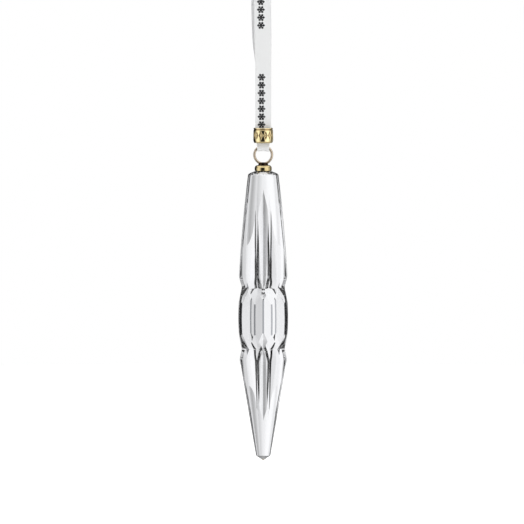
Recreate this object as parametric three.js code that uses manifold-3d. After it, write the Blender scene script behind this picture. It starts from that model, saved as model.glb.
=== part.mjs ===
// Icicle hanging ornament: a nine-sided cut crystal drop with a gilt cap and a brazed hanging ring, a gilt
// slider bead and a satin ribbon loop. Millimetres, +Z up, origin at the point where the loop hangs.
import * as THREE from 'three';
import { mergeVertices } from 'three/addons/utils/BufferGeometryUtils.js';
import Module from 'manifold-3d';

const wasm = await Module();
wasm.setup();

// ---- driving dimensions; heights are measured up from the crystal's point ----
const HANG_HEIGHT = 195;          // from the point up to where the loop hangs
const SIDES = 9;                  // panels round the crystal, one of them facing the front
const SECTOR = (2 * Math.PI) / SIDES;
const HALF = SECTOR / 2;

const SHOULDER = { height: 2.1, radius: 2.95 };        // where the shallow point begins
const LOWER_PETAL = { height: 41.4, radius: 9.62 };    // widest place of the lower petals
const LOWER_WAIST = { height: 46.3, radius: 8.95 };
const BAND = { low: 52.5, middle: 58.85, high: 65.2, radius: 9.78 };
const UPPER_WAIST = { height: 71.4, radius: 8.95 };
const UPPER_PETAL = { height: 76.3, radius: 9.88 };
const TOP_CORNER = { height: 117.3, radius: 6.25 };
const UPPER_SWELL = 0.37;         // how far the upper cone bows out between its ends
const CUT_TIPS = { low: 17.0, high: 110.9 };           // where the long V cuts run out
const LOWER_CUT = 2.2;            // half width of a V cut beside a petal's widest place
const UPPER_CUT = 2.3;
const CHAMFER = 0.38;             // half width of the narrow flat between two windows
const WALL_ANGLE = THREE.MathUtils.degToRad(52);       // half angle of a V cut along the cones
const BAND_WALL_ANGLE = THREE.MathUtils.degToRad(66);  // where the cuts run out between the windows
const PETAL_POWER = 0.6;          // roundness of the petals' ends
const LEAST = 0.08;               // smallest half width left of a panel or a cut

const SEAT = { height: 119.0, radius: 3.6 };           // flat top under the cap
const RECESS = { radius: 2.4, floor: 118.0 };
const FILM = { radius: 2.2, bottom: 118.1, thickness: 0.25 };
const CAP = { bottom: 119.2, top: 121.5, radius: 3.5, bore: 1.35, rim: 0.9 };
const COLLAR = { top: 122.6, radius: 2.0, gap: 0.1, shank: 1.15, shankBottom: 118.45 };
const RING = { height: 125.8, radius: 3.565, wire: 0.535, clearance: 0.2 };

const BEAD = { bottom: 130.7, top: 136.8, radius: 4.05, rimRadius: 3.92, bore: 3.6, bend: 1.5 };
const LIP = { bore: 3.42, radius: 3.6, inner: 0.9 };   // the bead's turned-in lower end

const RIBBON = { width: 7.0, beadWidth: 6.5, thickness: 0.25, foldTopWidth: 5.6, foldWidth: 4.6 };
const WIDENING = { from: 164, to: 172 };               // heights where the ribbon comes to its full width
const BIGHT = { top: 132.35, foldCentre: 128.75, innerRadius: 1.2 };
// The middle line of each leg, [x, y, height], from inside the bead up to the knot.
const FRONT_LEG_ROUTE = [
  [0, -0.525, 132.65], [0, -0.525, 138], [0, -0.525, 144], [0, -0.525, 150], [0, -0.525, 157],
  [0, -0.525, 163], [-0.05, -0.54, 167], [-0.1, -0.62, 171], [-0.18, -0.9, 177], [-0.25, -1.35, 183],
  [-0.3, -1.75, 189], [-0.32, -1.95, 195], [-0.35, -1.6, 198], [-0.45, -1.1, 200], [-0.6, -0.75, 201.2],
];
const REAR_LEG_ROUTE = [
  [0, 0.525, 132.65], [0, 0.525, 138], [0, 0.525, 144], [0, 0.525, 150], [0, 0.525, 157],
  [0, 0.525, 163], [-0.35, 0.54, 167], [-0.75, 0.62, 171], [-1.1, 0.9, 177], [-1.28, 1.35, 183],
  [-1.35, 1.75, 189], [-1.32, 1.95, 195], [-1.22, 1.6, 198], [-1.1, 1.1, 200], [-1.0, 0.75, 201.2],
];
const KNOT = { x: -0.8, height: 204.4, width: 7.6, depth: 4.6, tall: 5.6 };
const TAIL = { bottom: 207.5, length: 9, lean: 3.0, width: 2.7, offset: 1.7, slant: 0.3 };

const up = (height) => height - HANG_HEIGHT;
const ease = (t) => t * t * (3 - 2 * t);
const clamp01 = (t) => Math.min(1, Math.max(0, t));

// ---- materials ----
const finish = (color, roughness, metalness) =>
  new THREE.MeshStandardMaterial({ color, roughness, metalness });
const crystalGlass = finish(0xf2f6f8, 0.05, 0);
const gilt = finish(0xd9bf86, 0.2, 1);
const adhesive = finish(0xeceae0, 0.3, 0);
const satin = finish(0xeef0f1, 0.55, 0);

const ornament = new THREE.Group();

function addPiece(name, geometry, material) {
  const mesh = new THREE.Mesh(geometry, material);
  mesh.name = name;
  ornament.add(mesh);
}

// A lathe about +Z, with the profile's radii and heights given as [radius, height] pairs.
function turned(profile, segments) {
  const points = profile.map(([radius, height]) => new THREE.Vector2(radius, up(height)));
  return new THREE.LatheGeometry(points, segments).rotateX(Math.PI / 2);
}

// Quarter of a rounded rim: points on an arc about (radius, height) from one angle to another.
function arc(radius, height, size, from, to, steps) {
  return Array.from({ length: steps + 1 }, (_, i) => {
    const angle = THREE.MathUtils.degToRad(from + ((to - from) * i) / steps);
    return [radius + size * Math.cos(angle), height + size * Math.sin(angle)];
  });
}

// ---- crystal ----
const span = (height, from, to) => clamp01((height - from) / (to - from));
const mix = (from, to, t) => from + (to - from) * t;

// Distance from the axis to a panel's middle, at a height.
function panelRadius(height) {
  const line = (a, b) => THREE.MathUtils.mapLinear(height, a.height, b.height, a.radius, b.radius);
  const swell = (waist, petal) => {
    const t = ease(span(height, waist.height, petal.height));
    return mix(waist.radius, petal.radius, t);
  };
  if (height <= LOWER_PETAL.height) return line(SHOULDER, LOWER_PETAL);
  if (height <= LOWER_WAIST.height) return swell(LOWER_WAIST, LOWER_PETAL);
  if (height <= UPPER_WAIST.height) {
    const reach = (height - BAND.middle) / (UPPER_WAIST.height - BAND.middle);
    return BAND.radius - (BAND.radius - UPPER_WAIST.radius) * reach * reach;
  }
  if (height <= UPPER_PETAL.height) return swell(UPPER_WAIST, UPPER_PETAL);
  const t = span(height, UPPER_PETAL.height, TOP_CORNER.height);
  return line(UPPER_PETAL, TOP_CORNER) + 4 * UPPER_SWELL * t * (1 - t);
}

// Half width of the V cut at a height; halfWidth is where the cut has taken the whole panel.
function cutWidth(height, halfWidth) {
  const petalEnd = (t, cut) => mix(halfWidth, cut, Math.pow(1 - (1 - t) * (1 - t), PETAL_POWER));
  if (height <= LOWER_PETAL.height) return LOWER_CUT * span(height, CUT_TIPS.low, LOWER_PETAL.height);
  if (height <= LOWER_WAIST.height) {
    return petalEnd(span(height, LOWER_WAIST.height, LOWER_PETAL.height), LOWER_CUT);
  }
  if (height <= BAND.low) return mix(halfWidth, CHAMFER, span(height, LOWER_WAIST.height, BAND.low));
  if (height <= BAND.high) return CHAMFER;
  if (height <= UPPER_WAIST.height) {
    return mix(CHAMFER, halfWidth, span(height, BAND.high, UPPER_WAIST.height));
  }
  if (height <= UPPER_PETAL.height) {
    return petalEnd(span(height, UPPER_WAIST.height, UPPER_PETAL.height), UPPER_CUT);
  }
  return UPPER_CUT * span(height, CUT_TIPS.high, UPPER_PETAL.height);
}

// Half angle of the V cuts: they open out towards the mid band.
function wallAngle(height) {
  const rise = span(height, LOWER_PETAL.height, BAND.low);
  const fall = span(height, BAND.high, UPPER_PETAL.height);
  return mix(WALL_ANGLE, BAND_WALL_ANGLE, Math.min(rise, 1 - fall));
}

// Six points of one sector: panel middle, quarter, edge, valley, next panel's edge and quarter.
// The mid band's windows are flat; everything above and below is part of a round cone.
function sectorPoints(radius, flat, cutHalf, wall) {
  const halfWidth = radius * (flat ? Math.tan(HALF) : Math.sin(HALF));
  const cut = THREE.MathUtils.clamp(cutHalf, LEAST, halfWidth - LEAST);
  const edge = flat ? Math.atan2(halfWidth - cut, radius) : HALF - Math.asin(cut / radius);
  const out = (angle) => (flat ? radius / Math.cos(angle) : radius);
  const gap = HALF - edge;
  const narrow = cut <= (flat ? CHAMFER : LEAST) * 1.001;
  const depth = narrow ? 0 : Math.sin(gap) / Math.tan(wall);
  const valley = out(edge) * (Math.cos(gap) - depth);
  return [
    [0, radius], [edge / 2, out(edge / 2)], [edge, out(edge)], [HALF, valley],
    [SECTOR - edge, out(edge)], [SECTOR - edge / 2, out(edge / 2)],
  ];
}

function steps(from, to, count) {
  return Array.from({ length: count }, (_, i) => from + ((to - from) * i) / count);
}

function crystal() {
  const heights = [
    SHOULDER.height, CUT_TIPS.low,
    ...steps(CUT_TIPS.low, LOWER_PETAL.height, 3).slice(1),
    ...steps(LOWER_PETAL.height, LOWER_WAIST.height, 5),
    ...steps(LOWER_WAIST.height, BAND.low, 3),
    ...steps(BAND.low, BAND.high, 4),
    ...steps(BAND.high, UPPER_WAIST.height, 3),
    ...steps(UPPER_WAIST.height, UPPER_PETAL.height, 5),
    ...steps(UPPER_PETAL.height, CUT_TIPS.high, 4),
    CUT_TIPS.high, TOP_CORNER.height,
  ];
  const rows = heights.map((height) => {
    const radius = panelRadius(height);
    const flat = height >= LOWER_WAIST.height && height <= UPPER_WAIST.height;
    const halfWidth = radius * (flat ? Math.tan(HALF) : Math.sin(HALF));
    const points = sectorPoints(radius, flat, cutWidth(height, halfWidth), wallAngle(height));
    return { height, points };
  });
  const crown = [[6.05, 117.85], [5.6, 118.2], [4.9, 118.5], [SEAT.radius, SEAT.height]];
  const recess = [[RECESS.radius, SEAT.height], [RECESS.radius, RECESS.floor]];
  [...crown, ...recess].forEach(([radius, height]) => {
    rows.push({ height, points: sectorPoints(radius, false, 0, WALL_ANGLE) });
  });

  const profile = [[0, 0], ...rows.map(({ height }) => [1, height]), [0, RECESS.floor]];
  const perSector = rows[0].points.length;
  const columns = SIDES * perSector;
  const geometry = turned(profile, columns);
  const position = geometry.attributes.position;
  for (let i = 0; i < position.count; i++) {
    const row = rows[(i % profile.length) - 1];
    if (!row) continue;
    const column = Math.floor(i / profile.length) % columns;
    const [angle, radius] = row.points[column % perSector];
    const turn = Math.floor(column / perSector) * SECTOR + angle;
    position.setXY(i, radius * Math.sin(turn), -radius * Math.cos(turn));
  }
  return geometry;
}

// ---- cap, collar and ring ----
function capDisc() {
  const { bottom, top, radius, bore, rim } = CAP;
  const middle = (bottom + top) / 2;
  const halfTall = (top - bottom) / 2;
  const edge = arc(radius - rim, middle, 1, -90, 90, 6).map(([r, h]) => [
    radius - rim + (r - radius + rim) * rim, middle + (h - middle) * halfTall,
  ]);
  return turned([[bore, bottom], ...edge, [bore, top], [bore, bottom]], 24);
}

function toManifold(geometry) {
  const bare = geometry.clone().deleteAttribute('normal').deleteAttribute('uv');
  const merged = mergeVertices(bare, 1e-4);
  const mesh = new wasm.Mesh({
    numProp: 3,
    vertProperties: new Float32Array(merged.attributes.position.array),
    triVerts: new Uint32Array(merged.index.array),
  });
  mesh.merge();
  return new wasm.Manifold(mesh);
}

function fromManifold(solid) {
  const mesh = solid.getMesh();
  const geometry = new THREE.BufferGeometry();
  geometry.setAttribute('position', new THREE.BufferAttribute(mesh.vertProperties, 3));
  geometry.setIndex(new THREE.BufferAttribute(mesh.triVerts, 1));
  return geometry;
}

function torus(wire, tubeSides, segments) {
  return new THREE.TorusGeometry(RING.radius, wire, tubeSides, segments)
    .rotateX(Math.PI / 2)
    .translate(0, 0, up(RING.height));
}

// The collar stands on the cap, its shank goes through the cap into the crystal, and its top is
// saddled for the ring's wire.
function eyeCollar() {
  const { top, radius, gap, shank, shankBottom } = COLLAR;
  const seat = CAP.top + gap;
  const profile = [
    [0, shankBottom], [shank, shankBottom], [shank, seat], [radius, seat],
    [radius, top - 0.3], [radius - 0.3, top], [0, top],
  ];
  const body = toManifold(turned(profile, 24));
  const saddle = toManifold(torus(RING.wire + RING.clearance, 12, 48));
  return fromManifold(body.subtract(saddle));
}

function adhesiveFilm() {
  return new THREE.CylinderGeometry(FILM.radius, FILM.radius, FILM.thickness, 24)
    .rotateX(Math.PI / 2)
    .translate(0, 0, up(FILM.bottom + FILM.thickness / 2));
}

// ---- slider bead: a thin barrel sleeve, its lower end rounded inwards to a lip ----
function sliderBead() {
  const { bottom, top, radius, rimRadius, bore, bend } = BEAD;
  const bent = arc(0, 0, 1, -90, 0, 5).map(([across, rise]) => [
    LIP.radius + (radius - LIP.radius) * across, bottom + bend * (1 + rise),
  ]);
  const wall = rimRadius - bore;
  const rim = arc(bore + wall / 2, top - wall / 2, wall / 2, 0, 180, 4);
  const profile = [[LIP.bore, bottom], ...bent, ...rim, [bore, bottom + LIP.inner], [LIP.bore, bottom]];
  return turned(profile, 36);
}

// ---- ribbon ----
// A thin slab whose middle line, width and thickness follow functions of t, from 0 to 1.
function strip(count, place, width) {
  const geometry = new THREE.BoxGeometry(1, 1, 1, 1, 1, count);
  const position = geometry.attributes.position;
  for (let i = 0; i < position.count; i++) {
    const t = position.getZ(i) + 0.5;
    const { x, y, z } = place(t);
    const acrossX = position.getX(i) * width(t);
    const acrossY = position.getY(i) * RIBBON.thickness;
    position.setXYZ(i, x + acrossX, y + acrossY, z);
  }
  return geometry;
}

function ribbonLeg(route) {
  const line = new THREE.CatmullRomCurve3(route.map(([x, y, height]) => new THREE.Vector3(x, y, up(height))));
  const width = (t) => {
    const height = line.getPointAt(t).z + HANG_HEIGHT;
    const widened = ease(clamp01((height - WIDENING.from) / (WIDENING.to - WIDENING.from)));
    return RIBBON.beadWidth + (RIBBON.width - RIBBON.beadWidth) * widened;
  };
  return strip(26, (t) => line.getPointAt(t), width);
}

// The fold that holds the ring: a U in the YZ plane, narrower at its bottom.
function ribbonBight() {
  const { top, foldCentre, innerRadius } = BIGHT;
  const outerRadius = innerRadius + RIBBON.thickness;
  const innerTop = Math.abs(FRONT_LEG_ROUTE[0][1]) - RIBBON.thickness / 2;
  const outline = new THREE.Shape();
  outline.moveTo(innerTop, up(top));
  outline.lineTo(innerRadius, up(foldCentre));
  outline.absarc(0, up(foldCentre), innerRadius, 0, -Math.PI, true);
  outline.lineTo(-innerTop, up(top));
  outline.lineTo(-innerTop - RIBBON.thickness, up(top));
  outline.lineTo(-outerRadius, up(foldCentre));
  outline.absarc(0, up(foldCentre), outerRadius, -Math.PI, 0, false);
  outline.lineTo(innerTop + RIBBON.thickness, up(top));
  outline.closePath();
  const geometry = new THREE.ExtrudeGeometry(outline, { depth: 1, bevelEnabled: false, curveSegments: 8 });
  geometry.translate(0, 0, -0.5);
  const position = geometry.attributes.position;
  for (let i = 0; i < position.count; i++) {
    const y = position.getX(i);
    const z = position.getY(i);
    const rise = clamp01((z - up(foldCentre)) / (top - foldCentre));
    const width = RIBBON.foldWidth + (RIBBON.foldTopWidth - RIBBON.foldWidth) * rise;
    position.setXYZ(i, position.getZ(i) * width, y, z);
  }
  return geometry;
}

function ribbonKnot() {
  return new THREE.SphereGeometry(0.5, 16, 10)
    .rotateX(Math.PI / 2)
    .scale(KNOT.width, KNOT.depth, KNOT.tall)
    .translate(KNOT.x, 0, up(KNOT.height));
}

// side is -1 for the left tail and +1 for the right one.
function ribbonTail(side) {
  const place = (t) => ({
    x: KNOT.x + side * (TAIL.offset + TAIL.lean * t),
    y: side * (0.5 + 0.5 * t),
    z: up(TAIL.bottom + TAIL.length * t),
  });
  const geometry = strip(6, place, () => TAIL.width);
  const position = geometry.attributes.position;
  const top = up(TAIL.bottom + TAIL.length);
  for (let i = 0; i < position.count; i++) {
    const across = side * (position.getX(i) - KNOT.x);
    if (position.getZ(i) > top - 0.01) position.setZ(i, top - across * TAIL.slant);
  }
  return geometry;
}

addPiece('crystal_icicle', crystal(), crystalGlass);
addPiece('adhesive_film', adhesiveFilm(), adhesive);
addPiece('cap_disc', capDisc(), gilt);
addPiece('eye_collar', eyeCollar(), gilt);
addPiece('hanging_ring', torus(RING.wire, 10, 36), gilt);
addPiece('slider_bead', sliderBead(), gilt);
addPiece('ribbon_front_leg', ribbonLeg(FRONT_LEG_ROUTE), satin);
addPiece('ribbon_rear_leg', ribbonLeg(REAR_LEG_ROUTE), satin);
addPiece('ribbon_bight', ribbonBight(), satin);
addPiece('ribbon_knot', ribbonKnot(), satin);
addPiece('ribbon_tail_left', ribbonTail(-1), satin);
addPiece('ribbon_tail_right', ribbonTail(1), satin);

export default ornament;
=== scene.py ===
"""Looks of the icicle hanging ornament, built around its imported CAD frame.

Lengths named *_MM and all the profiles below are in millimetres, with heights measured up from the
crystal's point; place() turns them into metres in the row frame.
"""
import math

import bpy
import numpy as np
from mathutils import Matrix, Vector


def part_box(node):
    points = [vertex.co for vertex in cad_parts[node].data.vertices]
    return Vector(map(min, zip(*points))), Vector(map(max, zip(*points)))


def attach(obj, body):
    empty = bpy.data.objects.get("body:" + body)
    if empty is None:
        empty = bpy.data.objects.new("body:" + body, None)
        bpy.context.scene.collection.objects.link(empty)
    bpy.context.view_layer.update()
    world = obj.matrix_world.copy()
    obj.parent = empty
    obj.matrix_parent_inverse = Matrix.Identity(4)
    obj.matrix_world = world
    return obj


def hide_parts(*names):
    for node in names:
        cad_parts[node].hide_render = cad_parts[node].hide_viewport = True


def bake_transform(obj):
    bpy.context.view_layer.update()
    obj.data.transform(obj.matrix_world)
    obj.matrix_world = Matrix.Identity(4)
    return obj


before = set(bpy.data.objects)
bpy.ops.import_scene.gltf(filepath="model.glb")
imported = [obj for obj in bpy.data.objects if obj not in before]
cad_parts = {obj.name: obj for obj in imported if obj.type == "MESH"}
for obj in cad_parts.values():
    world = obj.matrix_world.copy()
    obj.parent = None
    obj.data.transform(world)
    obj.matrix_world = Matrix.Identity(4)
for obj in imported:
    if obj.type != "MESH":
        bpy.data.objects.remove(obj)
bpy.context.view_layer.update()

MM = 0.001
POINT_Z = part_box("crystal_icicle")[0][2]

# ---------------------------------------------------------------- driving sizes, from the frame
RING_LOW, RING_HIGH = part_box("hanging_ring")
BEAD_LOW, BEAD_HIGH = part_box("slider_bead")
CAP_LOW, CAP_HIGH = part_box("cap_disc")
COLLAR_LOW, COLLAR_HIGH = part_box("eye_collar")
KNOT_LOW, KNOT_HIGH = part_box("ribbon_knot")


def height_of(z):
    """Height above the crystal's point, in mm, of a place in the row frame."""
    return (z - POINT_Z) / MM


def place(x, y, height):
    return (x * MM, y * MM, POINT_Z + height * MM)


def ease(t):
    t = min(1.0, max(0.0, t))
    return t * t * (3 - 2 * t)


def between(value, low, high):
    return min(1.0, max(0.0, (value - low) / (high - low)))


def mix(a, b, t):
    return a + (b - a) * t


# ---------------------------------------------------------------- mesh helpers
def mesh_piece(name, vertices, faces, material, uvs=None, sharp_degrees=30.0, slots=None):
    """A new object from vertices in mm and height, with smooth shading broken at sharp edges."""
    mesh = bpy.data.meshes.new(name)
    mesh.from_pydata([place(*v) for v in vertices], [], faces)
    mesh.materials.append(material)
    if uvs is not None:
        layer = mesh.uv_layers.new(name="UVMap")
        for loop in mesh.loops:
            layer.data[loop.index].uv = uvs[loop.vertex_index]
    if slots is not None:
        for extra in slots[1]:
            mesh.materials.append(extra)
        mesh.polygons.foreach_set("material_index", slots[0])
    mesh.validate()
    mesh.shade_smooth()
    mesh.set_sharp_from_angle(angle=math.radians(sharp_degrees))
    piece = bpy.data.objects.new(name, mesh)
    bpy.context.collection.objects.link(piece)
    return piece


def lattice_faces(rows, columns, wrap_rows=False, wrap_columns=True):
    """Quads over a grid of rows x columns vertices, wound so that they face outwards."""
    faces = []
    for r in range(rows if wrap_rows else rows - 1):
        for c in range(columns if wrap_columns else columns - 1):
            a, b = r * columns + c, r * columns + (c + 1) % columns
            up = ((r + 1) % rows) * columns
            faces.append((a, b, up + (c + 1) % columns, up + c))
    return faces


def fan(row, columns, centre, below):
    """Triangles that close one row of a lattice onto its centre vertex."""
    faces = []
    for c in range(columns):
        a, b = row * columns + c, row * columns + (c + 1) % columns
        faces.append((b, a, centre) if below else (a, b, centre))
    return faces


def turned(name, profile, segments, material, closed=False, bump=None):
    """A lathe about the hanging axis. profile is (radius, height) from the bottom up, outside first."""
    vertices, faces = [], lattice_faces(len(profile), segments, wrap_rows=closed)
    for radius, height in profile:
        for c in range(segments):
            angle = 2 * math.pi * c / segments
            r = radius + (bump(radius, height, angle) if bump else 0.0)
            vertices.append((r * math.sin(angle), -r * math.cos(angle), height))
    if not closed:
        for row, below in ((0, True), (len(profile) - 1, False)):
            vertices.append((0.0, 0.0, profile[row][1]))
            faces += fan(row, segments, len(vertices) - 1, below)
    return mesh_piece(name, vertices, faces, material)


def arc(centre, size, start, end, steps):
    """Points on an elliptic arc, size = (radius across, radius up), angles in degrees."""
    angles = [math.radians(mix(start, end, i / steps)) for i in range(steps + 1)]
    return [(centre[0] + size[0] * math.cos(a), centre[1] + size[1] * math.sin(a)) for a in angles]


# ---------------------------------------------------------------- material helpers
class Nodes:
    """Short calls for building one material's or world's node tree."""

    def __init__(self, tree):
        self.tree = tree
        tree.nodes.clear()

    def add(self, kind, inputs=(), **settings):
        node = self.tree.nodes.new(kind)
        for key, value in settings.items():
            setattr(node, key, value)
        for key, value in dict(inputs).items():
            self.feed(node.inputs[key], value)
        return node

    def feed(self, socket, value):
        if isinstance(value, bpy.types.NodeSocket):
            self.tree.links.new(value, socket)
        else:
            socket.default_value = value

    def math(self, operation, *values):
        node = self.add("ShaderNodeMath", operation=operation)
        for socket, value in zip(node.inputs, values):
            self.feed(socket, value)
        return node.outputs[0]

    def smooth(self, value, low, high, to_low=0.0, to_high=1.0):
        node = self.add("ShaderNodeMapRange", interpolation_type="SMOOTHSTEP")
        for key, v in zip((0, 1, 2, 3, 4), (value, low, high, to_low, to_high)):
            self.feed(node.inputs[key], v)
        return node.outputs[0]

    def blend(self, factor, a, b):
        node = self.add("ShaderNodeMix", data_type="RGBA")
        self.feed(node.inputs[0], factor)
        self.feed(node.inputs[6], a)
        self.feed(node.inputs[7], b)
        return node.outputs[2]

    def noise(self, vector, scale, detail=3.0, stretch=None):
        if stretch:
            mapping = self.add("ShaderNodeMapping", {"Vector": vector, "Scale": stretch})
            vector = mapping.outputs[0]
        settings = {"Vector": vector, "Scale": scale, "Detail": detail}
        return self.add("ShaderNodeTexNoise", settings).outputs[0]

    def bump(self, height, strength, distance):
        node = self.add("ShaderNodeBump", {"Height": height, "Strength": strength, "Distance": distance})
        return node.outputs[0]


def material(name, build):
    made = bpy.data.materials.new(name)
    made.use_nodes = True
    nodes = Nodes(made.node_tree)
    shader = nodes.add("ShaderNodeBsdfPrincipled")
    output = nodes.add("ShaderNodeOutputMaterial")
    made.node_tree.links.new(shader.outputs[0], output.inputs["Surface"])
    for key, value in build(nodes).items():
        nodes.feed(shader.inputs[key], value)
    return made


def object_space(nodes):
    return nodes.add("ShaderNodeTexCoord").outputs["Object"]


def crystal_look(nodes):
    where = object_space(nodes)
    haze = nodes.noise(where, 160.0, 4.0)
    ripple = nodes.noise(where, 420.0, 1.0)
    return {
        "Base Color": (0.975, 0.98, 1.0, 1.0),
        "Transmission Weight": 1.0,
        "IOR": 1.54,
        "Roughness": nodes.smooth(haze, 0.3, 0.8, 0.0, 0.012),
        "Normal": nodes.bump(ripple, 0.02, 0.00002),
    }


def gilt_look(light, deep, rough):
    def build(nodes):
        where = object_space(nodes)
        cloud = nodes.noise(where, 700.0, 5.0)
        scratches = nodes.noise(where, 2600.0, 2.0, stretch=(1.0, 1.0, 0.12))
        # Painted shade: where the mesh's groove attribute is set (the bead's engraving and rim line), the
        # gilt is darkened to a deep brown.
        groove_shade = nodes.add("ShaderNodeAttribute", attribute_name="groove").outputs["Fac"]
        return {
            "Base Color": nodes.blend(groove_shade, nodes.blend(cloud, light, deep), (0.22, 0.12, 0.04, 1.0)),
            "Metallic": 1.0,
            "Roughness": nodes.smooth(cloud, 0.3, 0.75, rough * 0.7, rough * 1.6),
            "Normal": nodes.bump(scratches, 0.12, 0.00002),
        }
    return build


def ground_glass_shade_look(nodes):
    """The matt-ground flats between the crystal's windows; their dark grey tint is painted shade."""
    grain = nodes.noise(object_space(nodes), 2400.0, 2.0)
    return {
        # Painted shade: a dark grey tint on the ground glass.
        "Base Color": (0.2, 0.21, 0.23, 1.0),
        "Transmission Weight": 1.0,
        "IOR": 1.54,
        "Roughness": nodes.smooth(grain, 0.3, 0.7, 0.12, 0.3),
    }


def adhesive_look(nodes):
    where = object_space(nodes)
    bubbles = nodes.noise(where, 1500.0, 2.0)
    return {
        "Base Color": nodes.blend(bubbles, (0.9, 0.9, 0.86, 1.0), (0.8, 0.8, 0.74, 1.0)),
        "Roughness": nodes.smooth(bubbles, 0.3, 0.7, 0.15, 0.35),
        "Transmission Weight": 0.6,
        "IOR": 1.5,
    }


PRINT_START_MM = 10.0      # along the ribbon, from the fold to the first printed flake
PRINT_PERIOD_MM = 40.6     # one run of flakes and the plain gap after it
FLAKE_PITCH_MM = 3.23
FLAKES_IN_RUN = 7
FLAKE_RADIUS_MM = 1.58
FLAKE_ARM_MM = 0.25        # half width of an arm
FLAKE_TWIG_MM = 0.2        # half width of the side twigs
TWIG_FOOT_MM = 0.8         # where the twigs leave an arm, from the flake's middle
TWIG_REACH_MM = 0.5        # how far the twigs stand off an arm
PRINT_OFFSET_MM = -0.7     # the print's middle, across the ribbon
THREAD_PITCH_MM, PICK_PITCH_MM = 0.16, 0.24


def printed_flakes(nodes, across, along):
    """1 where a printed snowflake's ink lies, on the ribbon's own coordinates in mm."""
    run = nodes.math("FLOORED_MODULO", nodes.math("SUBTRACT", along, PRINT_START_MM), PRINT_PERIOD_MM)
    inside = nodes.math("LESS_THAN", run, FLAKE_PITCH_MM * FLAKES_IN_RUN)
    cell = nodes.math("SUBTRACT", nodes.math("FLOORED_MODULO", run, FLAKE_PITCH_MM), FLAKE_PITCH_MM / 2)
    side = nodes.math("SUBTRACT", across, PRINT_OFFSET_MM)
    squares = [nodes.math("POWER", value, 2.0) for value in (cell, side)]
    radius = nodes.math("SQRT", nodes.math("ADD", *squares))
    angle = nodes.math("PINGPONG", nodes.math("ARCTAN2", cell, side), math.pi / 6)
    down_arm = nodes.math("MULTIPLY", radius, nodes.math("COSINE", angle))
    off_arm = nodes.math("MULTIPLY", radius, nodes.math("SINE", angle))
    arm = nodes.smooth(off_arm, FLAKE_ARM_MM, FLAKE_ARM_MM + 0.06, 1.0, 0.0)
    slope = nodes.math("SUBTRACT", down_arm, nodes.math("MULTIPLY", off_arm, 0.58))
    lean = nodes.math("ABSOLUTE", nodes.math("SUBTRACT", slope, TWIG_FOOT_MM))
    twig = nodes.smooth(lean, FLAKE_TWIG_MM, FLAKE_TWIG_MM + 0.06, 1.0, 0.0)
    twig = nodes.math("MULTIPLY", twig, nodes.math("LESS_THAN", off_arm, TWIG_REACH_MM))
    ink = nodes.math("MAXIMUM", arm, twig)
    ink = nodes.math("MULTIPLY", ink, nodes.math("LESS_THAN", radius, FLAKE_RADIUS_MM))
    return nodes.math("MULTIPLY", ink, inside)


def satin_look(printed):
    def build(nodes):
        uv = nodes.add("ShaderNodeUVMap", uv_map="UVMap").outputs[0]
        parts = nodes.add("ShaderNodeSeparateXYZ", {0: uv})
        across, along = parts.outputs[0], parts.outputs[1]
        warp = nodes.noise(uv, 9.0, 3.0, stretch=(1.0, 0.06, 1.0))
        threads = nodes.math("SINE", nodes.math("MULTIPLY", across, 2 * math.pi / THREAD_PITCH_MM))
        picks = nodes.math("SINE", nodes.math("MULTIPLY", along, 2 * math.pi / PICK_PITCH_MM))
        weave = nodes.math("ADD", threads, nodes.math("MULTIPLY", picks, 0.45))
        weave = nodes.math("ADD", weave, nodes.math("MULTIPLY", warp, 2.0))
        cloth = nodes.blend(warp, (0.80, 0.81, 0.81, 1.0), (0.88, 0.885, 0.885, 1.0))
        edge = nodes.smooth(nodes.math("ABSOLUTE", across), 2.95, 3.25)
        cloth = nodes.blend(nodes.math("MULTIPLY", edge, 0.35), cloth, (0.72, 0.72, 0.74, 1.0))
        rough = nodes.smooth(warp, 0.3, 0.7, 0.38, 0.55)
        if printed:
            ink = printed_flakes(nodes, across, along)
            cloth = nodes.blend(ink, cloth, (0.012, 0.012, 0.014, 1.0))
        return {
            "Base Color": cloth,
            "Roughness": rough,
            "Sheen Weight": 0.25,
            "Sheen Roughness": 0.35,
            "Anisotropic": 0.5,
            "Normal": nodes.bump(weave, 0.25, 0.00003),
        }
    return build


CRYSTAL = material("cut_crystal", crystal_look)
GROUND_GLASS_SHADE = material("ground_crystal_painted_shade", ground_glass_shade_look)
GILT = material("pale_gilt", gilt_look((0.94, 0.80, 0.46, 1.0), (0.80, 0.64, 0.34, 1.0), 0.05))
# Painted shade: the cap's gilt is a darker copy of the bead's, standing in for the shade the cap shows.
CAP_GILT_SHADE = material("cap_gilt_painted_shade", gilt_look((0.74, 0.62, 0.35, 1.0), (0.52, 0.40, 0.19, 1.0), 0.05))
RING_GILT = material("ring_gilt", gilt_look((0.74, 0.63, 0.50, 1.0), (0.60, 0.49, 0.37, 1.0), 0.16))
# Painted shade: the collar's gilt is coloured near black to stand in for the shade and dark reflections on
# a gold part.
COLLAR_GILT_SHADE = material("collar_gilt_painted_shade", gilt_look((0.045, 0.027, 0.016, 1.0), (0.02, 0.012, 0.008, 1.0), 0.25))
ADHESIVE = material("clear_adhesive", adhesive_look)
SATIN = material("satin", satin_look(False))
SATIN_PRINTED = material("satin_printed", satin_look(True))


# ---------------------------------------------------------------- camera
VIEW_HEIGHT_MM = 214.8         # height of the frame at the object
VIEW_CENTRE_MM = 81.8          # height of the frame's middle above the crystal's point
VIEW_SIDE_MM = -0.5            # the frame's middle lies a little left of the hanging axis
CAMERA_ELEVATION = 4.5
CAMERA_DISTANCE = 2.0
SENSOR_MM = 36.0


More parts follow.
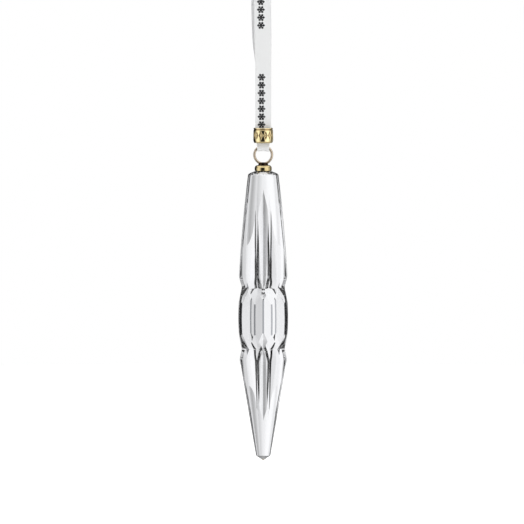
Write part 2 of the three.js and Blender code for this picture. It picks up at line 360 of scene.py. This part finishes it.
def make_camera():
    data = bpy.data.cameras.new("camera")
    camera = bpy.data.objects.new("camera", data)
    bpy.context.collection.objects.link(camera)
    data.sensor_width = SENSOR_MM
    data.lens = SENSOR_MM * CAMERA_DISTANCE / (VIEW_HEIGHT_MM * MM)
    data.clip_start, data.clip_end = 0.05, 50.0
    rise = math.radians(CAMERA_ELEVATION)
    back = Vector((0.0, -math.cos(rise), math.sin(rise)))
    camera.location = Vector(place(VIEW_SIDE_MM, 0.0, VIEW_CENTRE_MM)) + back * CAMERA_DISTANCE
    camera.rotation_euler = (-back).to_track_quat("-Z", "Y").to_euler()
    bpy.context.scene.camera = camera


# ---------------------------------------------------------------- ribbon
# The middle line of each ply, [x, y, height], from the bottom of the fold up to the knot.
FRONT_ROUTE = [
    [0, 0, 127.425], [0, -0.507, 127.526], [0, -0.937, 127.813], [0, -1.224, 128.243], [0, -1.325, 128.75],
    [0, -0.97, 130.45], [0, -0.6, 132.1], [0, -0.525, 133.5], [0, -0.525, 138], [0, -0.525, 144],
    [0, -0.525, 150], [0, -0.525, 157], [0, -0.525, 163], [-0.05, -0.54, 167], [-0.1, -0.62, 171],
    [-0.18, -0.9, 177], [-0.25, -1.35, 183], [-0.3, -1.75, 189], [-0.32, -1.95, 195], [-0.35, -1.6, 198],
    [-0.45, -1.1, 200], [-0.6, -0.75, 201.2], [-0.8, -0.5, 203.2],
]
REAR_ROUTE = [
    [0, 0, 127.425], [0, 0.507, 127.526], [0, 0.937, 127.813], [0, 1.224, 128.243], [0, 1.325, 128.75],
    [0, 0.97, 130.45], [0, 0.6, 132.1], [0, 0.525, 133.5], [0, 0.525, 138], [0, 0.525, 144],
    [0, 0.525, 150], [0, 0.525, 157], [0, 0.525, 163], [-0.35, 0.54, 167], [-0.75, 0.62, 171],
    [-1.1, 0.9, 177], [-1.28, 1.35, 183], [-1.35, 1.75, 189], [-1.32, 1.95, 195], [-1.22, 1.6, 198],
    [-1.1, 1.1, 200], [-1.0, 0.75, 201.2], [-0.8, 0.5, 203.2],
]
RIBBON_THICK_MM = 0.2
FOLD_TOP = (128.6, 132.0)      # heights over which the fold's droop gives way to the plies' bow
WAVY = (165.0, 175.0)          # heights over which the plies begin to wave
FOLD_DROOP_MM, PLY_BOW_MM, PLY_WAVE_MM = 0.25, 0.14, 0.05
RIBBON_WIDTHS = [  # full width at heights above the point
    (127.4, 4.8), (128.8, 5.0), (130.4, 5.3), (132.5, 5.5), (136.5, 6.5), (164.0, 6.5), (172.0, 7.0),
    (198.0, 7.0), (203.2, 4.6),
]


def ribbon_width(height):
    heights, widths = zip(*RIBBON_WIDTHS)
    return float(np.interp(height, heights, widths))


def smooth_line(points, per_span):
    """Catmull-Rom points through a route."""
    p = [np.array(q, float) for q in points]
    p = [2 * p[0] - p[1], *p, 2 * p[-1] - p[-2]]
    line = []
    for i in range(1, len(p) - 2):
        for k in range(per_span):
            t = k / per_span
            line.append(0.5 * (2 * p[i] + (p[i + 1] - p[i - 1]) * t
                               + (2 * p[i - 1] - 5 * p[i] + 4 * p[i + 1] - p[i + 2]) * t * t
                               + (3 * p[i] - p[i - 1] - 3 * p[i + 1] + p[i + 2]) * t ** 3))
    line.append(p[-2])
    return np.array(line)


def round_section(columns):
    """Each vertex of a ribbon's cross-section: its side, +1 or -1, and its place across, -1 to 1."""
    for side in (1, -1):
        for c in range(columns + 1):
            u = -1 + 2 * c / columns
            yield side, u if side > 0 else -u


def strip(name, line, across, width, crown, looks, columns=24):
    """A closed ribbon swept along line. across, width and crown give each ring's direction, full width
    and outward bow; looks are the plain and the outer face's materials."""
    count = len(line)
    tangent = np.gradient(line, axis=0)
    along = np.concatenate([[0.0], np.cumsum(np.linalg.norm(np.diff(line, axis=0), axis=1))])
    vertices, uvs = [], []
    for i in range(count):
        w = np.array(across(i), float)
        t = tangent[i] / np.linalg.norm(tangent[i])
        w -= t * (w @ t)
        w /= np.linalg.norm(w)
        n = np.cross(w, t)
        half = width(i) / 2
        for side, u in round_section(columns):
            roll = 1 + 0.25 * math.exp(-((1 - abs(u)) / 0.05) ** 2)
            lift = crown(i, u) + side * RIBBON_THICK_MM / 2 * (roll if abs(u) < 0.999 else 0.55)
            vertices.append(line[i] + w * u * half + n * lift)
            uvs.append((u * half, along[i]))
    ring = 2 * (columns + 1)
    faces = lattice_faces(count, ring)
    outer = [1 if (k % ring) < columns else 0 for k in range(len(faces))]
    faces += [tuple(range(ring)), tuple(range((count - 1) * ring, count * ring))[::-1]]
    outer += [0, 0]
    slots = (outer, [looks[1]])
    return mesh_piece(name, vertices, faces, looks[0], uvs=uvs, sharp_degrees=50.0, slots=slots)


def make_ply(name, route, side):
    """side is -1 for the front ply and +1 for the rear one."""
    line = smooth_line(route, 12)

    def crown(i, u):
        height = line[i][2]
        folded = 1 - ease(between(height, *FOLD_TOP))
        wave = PLY_WAVE_MM * math.sin(height * 0.41 + side) * ease(between(height, *WAVY))
        return mix(PLY_BOW_MM * (1 - u * u) + wave * u, FOLD_DROOP_MM * u * u, folded)

    def width(i):
        return ribbon_width(line[i][2])

    piece = strip(name, line, lambda i: (-side, 0, 0), width, crown, (SATIN, SATIN_PRINTED))
    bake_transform(piece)
    return piece


def make_ribbon():
    front = make_ply("ribbon_front_ply", FRONT_ROUTE, -1)
    rear = make_ply("ribbon_rear_ply", REAR_ROUTE, 1)
    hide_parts("ribbon_front_leg", "ribbon_bight")
    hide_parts("ribbon_rear_leg")


def wrap(centre, size, tilt, turn, width, pleats, thick=0.22, count=96, columns=28):
    """One closed turn of ribbon round the gathered plies, tilted, with lengthwise pleats."""
    vertices, uvs = [], []
    for i in range(count):
        a = 2 * math.pi * i / count
        middle = np.array(centre) + [size[0] * math.cos(a), size[1] * math.sin(a),
                                     tilt * math.cos(a + turn)]
        outward = np.array([math.cos(a) / size[0], math.sin(a) / size[1], 0.0])
        outward /= np.linalg.norm(outward)
        w = np.array([0.0, 0.0, 1.0])
        pinch = 1 - 0.22 * math.cos(a + turn) ** 2
        for side, u in round_section(columns):
            pleat = 0.16 * math.cos(pleats * math.pi * u + 0.6 * math.sin(2 * a))
            tuck = -1.1 * abs(u) ** 3
            lift = pleat + tuck + side * thick / 2 * (1 if abs(u) < 0.999 else 0.4)
            vertices.append(middle + w * u * width / 2 * pinch + outward * lift)
            uvs.append((u * 3.4, i * 0.3))
    ring = 2 * (columns + 1)
    return vertices, lattice_faces(count, ring, wrap_rows=True), uvs


def make_knot():
    centre = [(KNOT_LOW[0] + KNOT_HIGH[0]) / 2 / MM, 0.0, height_of((KNOT_LOW[2] + KNOT_HIGH[2]) / 2)]
    vertices, faces, uvs = [], [], []
    turns = [
        dict(size=(2.5, 1.35), tilt=0.9, turn=0.3, width=4.6, pleats=3),
        dict(size=(3.15, 1.75), tilt=-0.8, turn=0.0, width=3.9, pleats=2),
    ]
    for spec in turns:
        turn_vertices, turn_faces, turn_uvs = wrap(centre, **spec)
        faces += [tuple(k + len(vertices) for k in face) for face in turn_faces]
        vertices += turn_vertices
        uvs += turn_uvs
    knot = mesh_piece("knot_wraps", vertices, faces, SATIN, uvs=uvs, sharp_degrees=60.0)
    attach(knot, "ribbon")
    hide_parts("ribbon_knot")


KNOT_X_MM = -0.8
TAIL_SUNK_MM = 2.2                 # how far a tail starts below the knot's top


def make_tail(side):
    """A short cut end of the ribbon standing out of the knot, with a slanted cut."""
    name = "left" if side < 0 else "right"
    foot = height_of(KNOT_HIGH[2]) - TAIL_SUNK_MM
    top = height_of(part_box("ribbon_tail_" + name)[1][2])
    count = 40
    line = []
    for i in range(count):
        t = i / (count - 1)
        x = KNOT_X_MM + side * (0.5 + 3.9 * t ** 0.9)
        y = side * (0.35 + 0.4 * t + 0.25 * math.sin(3 * t))
        line.append((x, y, mix(foot, top - 0.4, t)))
    line = np.array(line)

    def across(i):
        twist = side * 0.5 * (1 - i / count)
        return (math.cos(twist), math.sin(twist), -side * 0.35 * i / count)

    def width(i):
        return mix(2.2, 4.6, ease(i / count * 1.6))

    def crown(i, u):
        return mix(0.5, 0.12, i / count) * math.cos(u * 2.6)

    tail = strip("tail_" + name, line, across, width, crown, (SATIN, SATIN), columns=18)
    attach(tail, "ribbon")
    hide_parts("ribbon_tail_" + name)


# ---------------------------------------------------------------- crystal
# The cutting repeats what the CAD's crystal has, with more rows and columns.
CUTS = 9                           # V cuts round the crystal, with a panel facing the front
SECTOR = 2 * math.pi / CUTS
HALF = SECTOR / 2
SHOULDER = (2.1, 2.95)             # (height, radius) where the shallow point begins
LOWER_PETAL = (41.4, 9.62)
LOWER_WAIST = (46.3, 8.95)
BAND_LOW, BAND_MIDDLE, BAND_HIGH = 52.5, 58.85, 65.2
BAND_RADIUS = 9.78                 # from the axis to a window's middle
UPPER_WAIST = (71.4, 8.95)
UPPER_PETAL = (76.3, 9.88)
TOP_CORNER = (117.3, 6.25)
UPPER_SWELL = 0.37                 # how far the upper cone bows out between its ends
CUT_LOW, CUT_HIGH = 17.0, 110.9    # where the long V cuts run out
LOWER_CUT, UPPER_CUT = 2.2, 2.3    # half width of a V cut beside a petal's widest place
CHAMFER = 0.38                     # half width of the narrow flat between two windows
WALL_ANGLE = math.radians(52)      # half angle of a V cut along the cones
BAND_WALL_ANGLE = math.radians(66)  # where the cuts run out between the windows
PETAL_POWER = 0.6                  # roundness of the petals' ends
SEAT = (119.0, 3.6)                # flat top under the cap
RECESS_RADIUS, RECESS_FLOOR = 2.4, 118.0
PANEL_COLUMNS = 10                 # across one panel
GROOVE_COLUMNS = 4                 # across one V cut


def panel_radius(h):
    """Distance from the axis to a panel's middle."""
    def line(a, b):
        return mix(a[1], b[1], (h - a[0]) / (b[0] - a[0]))

    def swell(waist, petal):
        return mix(waist[1], petal[1], ease((h - waist[0]) / (petal[0] - waist[0])))

    if h <= SHOULDER[0]:
        return SHOULDER[1] * h / SHOULDER[0]
    if h <= LOWER_PETAL[0]:
        return line(SHOULDER, LOWER_PETAL)
    if h <= LOWER_WAIST[0]:
        return swell(LOWER_WAIST, LOWER_PETAL)
    if h <= UPPER_WAIST[0]:
        reach = (h - BAND_MIDDLE) / (UPPER_WAIST[0] - BAND_MIDDLE)
        return BAND_RADIUS - (BAND_RADIUS - UPPER_WAIST[1]) * reach * reach
    if h <= UPPER_PETAL[0]:
        return swell(UPPER_WAIST, UPPER_PETAL)
    t = between(h, UPPER_PETAL[0], TOP_CORNER[0])
    return line(UPPER_PETAL, TOP_CORNER) + 4 * UPPER_SWELL * t * (1 - t)


def in_band(h):
    """True on the mid band's flat windows, False on the round cones above and below."""
    return LOWER_WAIST[0] <= h <= UPPER_WAIST[0]


def cut_width(h, half_width):
    """Half width of the V cut at a height."""
    def petal_end(t, cut):
        return half_width - (half_width - cut) * (1 - (1 - t) ** 2) ** PETAL_POWER

    if h <= LOWER_PETAL[0]:
        return LOWER_CUT * between(h, CUT_LOW, LOWER_PETAL[0])
    if h <= LOWER_WAIST[0]:
        return petal_end((LOWER_WAIST[0] - h) / (LOWER_WAIST[0] - LOWER_PETAL[0]), LOWER_CUT)
    if h <= BAND_LOW:
        return mix(half_width, CHAMFER, between(h, LOWER_WAIST[0], BAND_LOW))
    if h <= BAND_HIGH:
        return CHAMFER
    if h <= UPPER_WAIST[0]:
        return mix(CHAMFER, half_width, between(h, BAND_HIGH, UPPER_WAIST[0]))
    if h <= UPPER_PETAL[0]:
        return petal_end((h - UPPER_WAIST[0]) / (UPPER_PETAL[0] - UPPER_WAIST[0]), UPPER_CUT)
    return UPPER_CUT * (1 - between(h, UPPER_PETAL[0], CUT_HIGH))


def wall_angle(h):
    """Half angle of the V cuts: they open out towards the mid band."""
    rise, fall = between(h, LOWER_PETAL[0], BAND_LOW), between(h, BAND_HIGH, UPPER_PETAL[0])
    return mix(WALL_ANGLE, BAND_WALL_ANGLE, min(rise, 1 - fall))


def sector_points(radius, flat, cut, wall=WALL_ANGLE):
    """(angle, radius) across one sector, from a panel's middle to the next one's."""
    if flat:
        half_width = radius * math.tan(HALF)
        edge = math.atan2(max(0.03, half_width - cut), radius)
        edge_radius = radius / math.cos(edge)
    else:
        edge = max(0.003, HALF - math.asin(min(0.95, max(cut, 0.02) / radius)))
        edge_radius = radius
    gap = HALF - edge
    if cut <= (CHAMFER * 1.01 if flat else 0.03):
        wall = math.radians(89.9)
    valley = edge_radius * (math.cos(gap) - math.sin(gap) / math.tan(wall))
    points = []
    half = PANEL_COLUMNS // 2
    for i in range(half + 1):
        angle = edge * i / half
        points.append((angle, radius / math.cos(angle) if flat else radius))
    corner = (edge_radius * math.sin(edge), edge_radius * math.cos(edge))
    middle = (valley * math.sin(HALF), valley * math.cos(HALF))
    steps = GROOVE_COLUMNS // 2
    for i in range(1, steps + 1):
        x = mix(corner[0], middle[0], i / steps)
        y = mix(corner[1], middle[1], i / steps)
        points.append((math.atan2(x, y), math.hypot(x, y)))
    mirrored = [(SECTOR - angle, r) for angle, r in points[1:-1]]
    return points + mirrored[::-1]


def crystal_rows():
    spans = [
        (0.35, SHOULDER[0], 2), (SHOULDER[0], CUT_LOW, 8), (CUT_LOW, LOWER_PETAL[0], 20),
        (LOWER_PETAL[0], LOWER_WAIST[0], 24), (LOWER_WAIST[0], BAND_LOW, 14), (BAND_LOW, BAND_HIGH, 16),
        (BAND_HIGH, UPPER_WAIST[0], 14), (UPPER_WAIST[0], UPPER_PETAL[0], 24),
        (UPPER_PETAL[0], CUT_HIGH, 30), (CUT_HIGH, TOP_CORNER[0], 8),
    ]
    heights = [low + (high - low) * i / count for low, high, count in spans for i in range(count)]
    rows = []
    for h in [*heights, TOP_CORNER[0]]:
        radius, flat = panel_radius(h), in_band(h)
        half_width = radius * (math.tan(HALF) if flat else math.sin(HALF))
        rows.append((h, sector_points(radius, flat, cut_width(h, half_width), wall_angle(h))))
    crown = [(117.6, 6.2), (117.85, 6.05), (118.1, 5.75), (118.5, 4.9), (SEAT[0], SEAT[1])]
    rows += [(h, sector_points(radius, False, 0.0)) for h, radius in crown]
    angles = [angle for angle, _ in sector_points(1.0, False, 0.0)]
    rows += [(h, [(a, RECESS_RADIUS) for a in angles]) for h in (SEAT[0], RECESS_FLOOR)]
    return rows


def is_flat(rows, row, column):
    """True on the narrow flats between the mid band's windows."""
    if row >= len(rows) or not BAND_LOW - 0.01 <= rows[row][0] < BAND_HIGH - 0.01:
        return False
    return PANEL_COLUMNS // 2 <= column % len(rows[0][1]) < PANEL_COLUMNS // 2 + GROOVE_COLUMNS


def make_crystal():
    rows = crystal_rows()
    columns = CUTS * len(rows[0][1])
    vertices = []
    for h, points in rows:
        for sector in range(CUTS):
            for angle, radius in points:
                turn = sector * SECTOR + angle
                vertices.append((radius * math.sin(turn), -radius * math.cos(turn), h))
    faces = lattice_faces(len(rows), columns)
    ends = [(0, 0.0, True), (len(rows) - 1, RECESS_FLOOR, False)]
    for row, height, below in ends:
        vertices.append((0.0, 0.0, height))
        faces += fan(row, columns, len(vertices) - 1, below)
    # The flats between the windows get the ground glass, tinted dark as painted shade.
    ground_shade_faces = [int(is_flat(rows, face[0] // columns, face[0] % columns)) for face in faces]
    slots = (ground_shade_faces, [GROUND_GLASS_SHADE])
    crystal = mesh_piece("cut_crystal", vertices, faces, CRYSTAL, sharp_degrees=9.0, slots=slots)
    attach(crystal, "pendant")
    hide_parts("crystal_icicle")


# ---------------------------------------------------------------- metal mount and bead
RING_CENTRE_Z = (RING_LOW[2] + RING_HIGH[2]) / 2
RING_WIRE_MM = (RING_HIGH[1] - RING_LOW[1]) / 2 / MM
RING_RADIUS_MM = (RING_HIGH[0] - RING_LOW[0]) / 2 / MM - RING_WIRE_MM


def make_ring():
    around, tube = 160, 32
    vertices = []
    centre = height_of(RING_CENTRE_Z)
    for i in range(around):
        a = 2 * math.pi * i / around
        for k in range(tube):
            b = 2 * math.pi * k / tube
            reach = RING_RADIUS_MM + RING_WIRE_MM * math.cos(b)
            side = -RING_WIRE_MM * math.sin(b)
            vertices.append((reach * math.sin(a), side, centre + reach * math.cos(a)))
    faces = lattice_faces(around, tube, wrap_rows=True)
    ring = mesh_piece("gilt_ring", vertices, faces, RING_GILT, sharp_degrees=80.0)
    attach(ring, "pendant")
    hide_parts("hanging_ring")


def make_cap():
    bottom, top = height_of(CAP_LOW[2]), height_of(CAP_HIGH[2])
    radius = CAP_HIGH[0] / MM
    outer = [(radius - 0.45, bottom), *arc((radius - 0.3, bottom + 0.35), (0.3, 0.35), -70, 0, 5)]
    outer += arc((radius - 1.0, top - 1.25), (1.0, 1.25), 0, 90, 14)
    inner = [(2.1, top + 0.02), (1.35, top), (1.35, bottom)]
    cap = turned("gilt_cap", [*outer, *inner], 128, CAP_GILT_SHADE, closed=True)
    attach(cap, "pendant")
    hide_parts("cap_disc")


def make_collar():
    bottom, top = height_of(COLLAR_LOW[2]), height_of(CAP_HIGH[2]) + 1.15
    radius = COLLAR_HIGH[0] / MM
    foot = height_of(CAP_HIGH[2]) + 0.06
    waist = [(radius - 0.02, foot), (radius, foot + 0.25), (radius - 0.02, foot + 0.6)]
    lip = [(radius - 0.06, top - 0.25), (radius - 0.16, top - 0.08), (radius - 0.4, top)]
    profile = [(1.05, bottom), (1.15, bottom + 0.1), (1.15, foot), *waist, *lip, (0.6, top + 0.05)]
    collar = turned("gilt_collar", profile, 96, COLLAR_GILT_SHADE)
    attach(collar, "pendant")
    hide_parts("eye_collar")


def make_adhesive():
    low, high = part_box("adhesive_film")
    bottom, top, radius = height_of(low[2]), height_of(high[2]), high[0] / MM
    profile = [
        (radius - 0.12, bottom), (radius, bottom + 0.08), (radius - 0.03, top - 0.05), (radius - 0.15, top),
    ]
    film = turned("adhesive_disc", profile, 64, ADHESIVE)
    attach(film, "pendant")
    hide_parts("adhesive_film")


BEAD_BORE_MM, LIP_BORE_MM, LIP_OUTER_MM = 3.6, 3.34, 3.46
BEND_MM = 1.45                     # height of the turned-in lower end
RIM_MM = 0.28                      # height of the rounded upper rim
ENGRAVED_COUNT = 13
ENGRAVED_HALF = (0.72, 1.5)        # half size of one engraved lozenge, around and up
ENGRAVED_DEPTH = 0.14
ENGRAVED_RISE_MM = 0.15            # how far the lozenges' middle stands above the bead's
ENGRAVED_BAND_MM = 2.1             # half height of the band that holds them
WALL_SKIN_MM = 0.3                 # only the bead's outer surface, down to this depth, is engraved
RIM_LINE_MM, RIM_LINE_WIDTH_MM = 0.62, 0.24   # the grooved line round the bead, darkened with painted shade: below its top, and its width


def make_bead():
    bottom, top = height_of(BEAD_LOW[2]), height_of(BEAD_HIGH[2])
    radius = BEAD_HIGH[0] / MM
    middle = (bottom + top) / 2 + ENGRAVED_RISE_MM
    grooves = []

    def engraving(r, height, angle):
        groove = 0.0
        on_wall = r > radius - WALL_SKIN_MM
        if on_wall and abs(height - middle) < ENGRAVED_BAND_MM:
            cell = (angle * ENGRAVED_COUNT / (2 * math.pi)) % 1.0 - 0.5
            around = cell * 2 * math.pi * radius / ENGRAVED_COUNT
            out = abs(around) / ENGRAVED_HALF[0] + abs(height - middle) / ENGRAVED_HALF[1]
            groove = min(1.0, math.exp(-((out - 0.85) / 0.24) ** 2) + math.exp(-(out / 0.2) ** 2))
        if on_wall:
            groove = max(groove, math.exp(-((height - top + RIM_LINE_MM) / RIM_LINE_WIDTH_MM) ** 2))
        grooves.append(groove)
        return -ENGRAVED_DEPTH * groove

    outer = arc((LIP_OUTER_MM, bottom + BEND_MM), (radius - LIP_OUTER_MM, BEND_MM), -90, 0, 18)
    rows = 64
    wall_top = top - RIM_MM
    rim_radius = radius - 0.1
    side = [(mix(radius, rim_radius, (i / rows) ** 2), mix(bottom + BEND_MM, wall_top, i / rows))
            for i in range(1, rows + 1)]
    rim_middle, rim_half = (rim_radius + BEAD_BORE_MM) / 2, (rim_radius - BEAD_BORE_MM) / 2
    rim = arc((rim_middle, wall_top), (rim_half, RIM_MM), 15, 180, 10)
    inner = [(BEAD_BORE_MM, bottom + 1.0), *arc((LIP_BORE_MM, bottom + 1.0), (0.26, 0.9), 0, -80, 6)]
    bead = turned("gilt_bead", [*outer, *side, *rim, *inner], 360, GILT, closed=True, bump=engraving)
    # The groove values also darken the gilt there: painted shade in the engraving and the rim line.
    bead.data.attributes.new("groove", "FLOAT", "POINT").data.foreach_set("value", grooves)
    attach(bead, "bead")
    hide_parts("slider_bead")


# ---------------------------------------------------------------- studio
# Light round the object as (degrees, level): 0 is the photographer's side, +90 the right, 180 behind.
# One ring lights surfaces, and the other is seen by light that comes out of the crystal. The levels are
# set for each kind of ray separately, so together they are not one physical studio.
SURFACE_RING = [
    (-180, 0.02), (-112, 0.02), (-100, 0.4), (-88, 0.95), (-68, 1.45), (-50, 1.2), (-36, 0.5), (-24, 0.04),
    (9, 0.02), (19, 0.4), (28, 1.3), (62, 1.6), (78, 0.9), (92, 0.7), (106, 0.6), (110, 0.05), (122, 0.05),
    (127, 0.6), (143, 0.4), (153, 0.03), (180, 0.03),
]
GLASS_RING = [
    (-180, 0.94), (-166, 1.02), (-150, 1.04), (-144, 0.85), (-137, 1.0), (-131, 0.9), (-128, 0.02),
    (-123, 0.02), (-118, 0.5), (-95, 0.6), (-72, 0.8), (0, 0.85), (75, 0.75), (95, 0.6), (121, 0.4),
    (125, 0.02), (129, 0.02), (132, 0.8), (138, 0.9), (142, 0.58), (149, 0.4), (156, 0.55), (162, 0.78),
    (167, 0.68), (172, 0.82), (180, 0.98),
]
ABOVE, BELOW = 1.3, 0.5            # light from overhead and from under, on surfaces
GLASS_ABOVE, GLASS_BELOW = 0.3, 0.9
FRONT_HALF = (1.4, 1.75)           # azimuths, in radians, over which that darkening ends


def light_ring(nodes, turn, levels):
    """A brightness for each direction round the object; turn runs from 0 to 1."""
    ramp = nodes.add("ShaderNodeValToRGB", {0: turn})
    stops = ramp.color_ramp.elements
    first, *between_ends, last = levels
    for stop, (degrees, level) in [(stops[0], first), (stops[1], last)]:
        stop.position = degrees / 360 + 0.5
        stop.color = (level / 2, level / 2, level / 2, 1.0)
    for degrees, level in between_ends:
        stops.new(degrees / 360 + 0.5).color = (level / 2, level / 2, level / 2, 1.0)
    return nodes.math("MULTIPLY", ramp.outputs[0], 2.0)


def make_light():
    world = bpy.data.worlds.new("studio")
    bpy.context.scene.world = world
    world.use_nodes = True
    nodes = Nodes(world.node_tree)
    way = nodes.add("ShaderNodeTexCoord").outputs["Generated"]
    parts = nodes.add("ShaderNodeSeparateXYZ", {0: way})
    x, y, z = parts.outputs
    azimuth = nodes.math("ARCTAN2", x, nodes.math("MULTIPLY", y, -1.0))
    turn = nodes.math("ADD", nodes.math("DIVIDE", azimuth, 2 * math.pi), 0.5)
    overhead, under = nodes.smooth(z, 0.45, 0.7), nodes.smooth(z, -0.4, -0.65)
    path = nodes.add("ShaderNodeLightPath")
    through = path.outputs["Is Transmission Ray"]

    def fade(a, b, share):
        return nodes.math("ADD", nodes.math("MULTIPLY", a, nodes.math("SUBTRACT", 1.0, share)),
                          nodes.math("MULTIPLY", b, share))

    surface = fade(fade(light_ring(nodes, turn, SURFACE_RING), ABOVE, overhead), BELOW, under)
    glass = fade(fade(light_ring(nodes, turn, GLASS_RING), GLASS_ABOVE, overhead), GLASS_BELOW, under)
    # The glass ring is lit at the front, but light that the cuts throw back there is made dark by hand.
    to_front = nodes.smooth(nodes.math("ABSOLUTE", azimuth), *FRONT_HALF, 1.0, 0.0)
    thrown_back = nodes.math("GREATER_THAN", path.outputs["Glossy Depth"], 0.5)
    glass = fade(glass, 0.0, nodes.math("MULTIPLY", thrown_back, to_front))
    level = fade(surface, glass, through)
    level = nodes.math("MAXIMUM", level, path.outputs["Is Camera Ray"])
    light = nodes.add("ShaderNodeBackground", {"Color": (1.0, 1.0, 1.0, 1.0), "Strength": level})
    output = nodes.add("ShaderNodeOutputWorld")
    world.node_tree.links.new(light.outputs[0], output.inputs["Surface"])


def floor_look(nodes):
    grain = nodes.noise(object_space(nodes), 6.0, 2.0)
    return {
        "Base Color": nodes.blend(grain, (0.93, 0.93, 0.93, 1.0), (0.95, 0.95, 0.95, 1.0)),
        "Roughness": 0.9,
        "Emission Color": (1.0, 1.0, 1.0, 1.0),
        "Emission Strength": 0.3,
    }


FLOOR_DROP_MM = 40.0
FLOOR_RADIUS = 0.8


def make_floor():
    count = 96
    z = POINT_Z - FLOOR_DROP_MM * MM
    turns = [2 * math.pi * i / count for i in range(count)]
    ring = [(FLOOR_RADIUS * math.cos(turn), FLOOR_RADIUS * math.sin(turn), z) for turn in turns]
    mesh = bpy.data.meshes.new("floor")
    mesh.from_pydata(ring, [], [tuple(range(count))])
    mesh.materials.append(material("pale_floor", floor_look))
    floor = bpy.data.objects.new("floor", mesh)
    bpy.context.collection.objects.link(floor)
    floor.visible_transmission = False  # what shows through the crystal is the lit ring round the object
    floor.visible_glossy = False


make_camera()
make_ribbon()
make_knot()
make_tail(-1)
make_tail(1)
make_crystal()
make_adhesive()
make_cap()
make_collar()
make_ring()
make_bead()
make_light()
make_floor()
bpy.context.scene.view_settings.view_transform = "Standard"
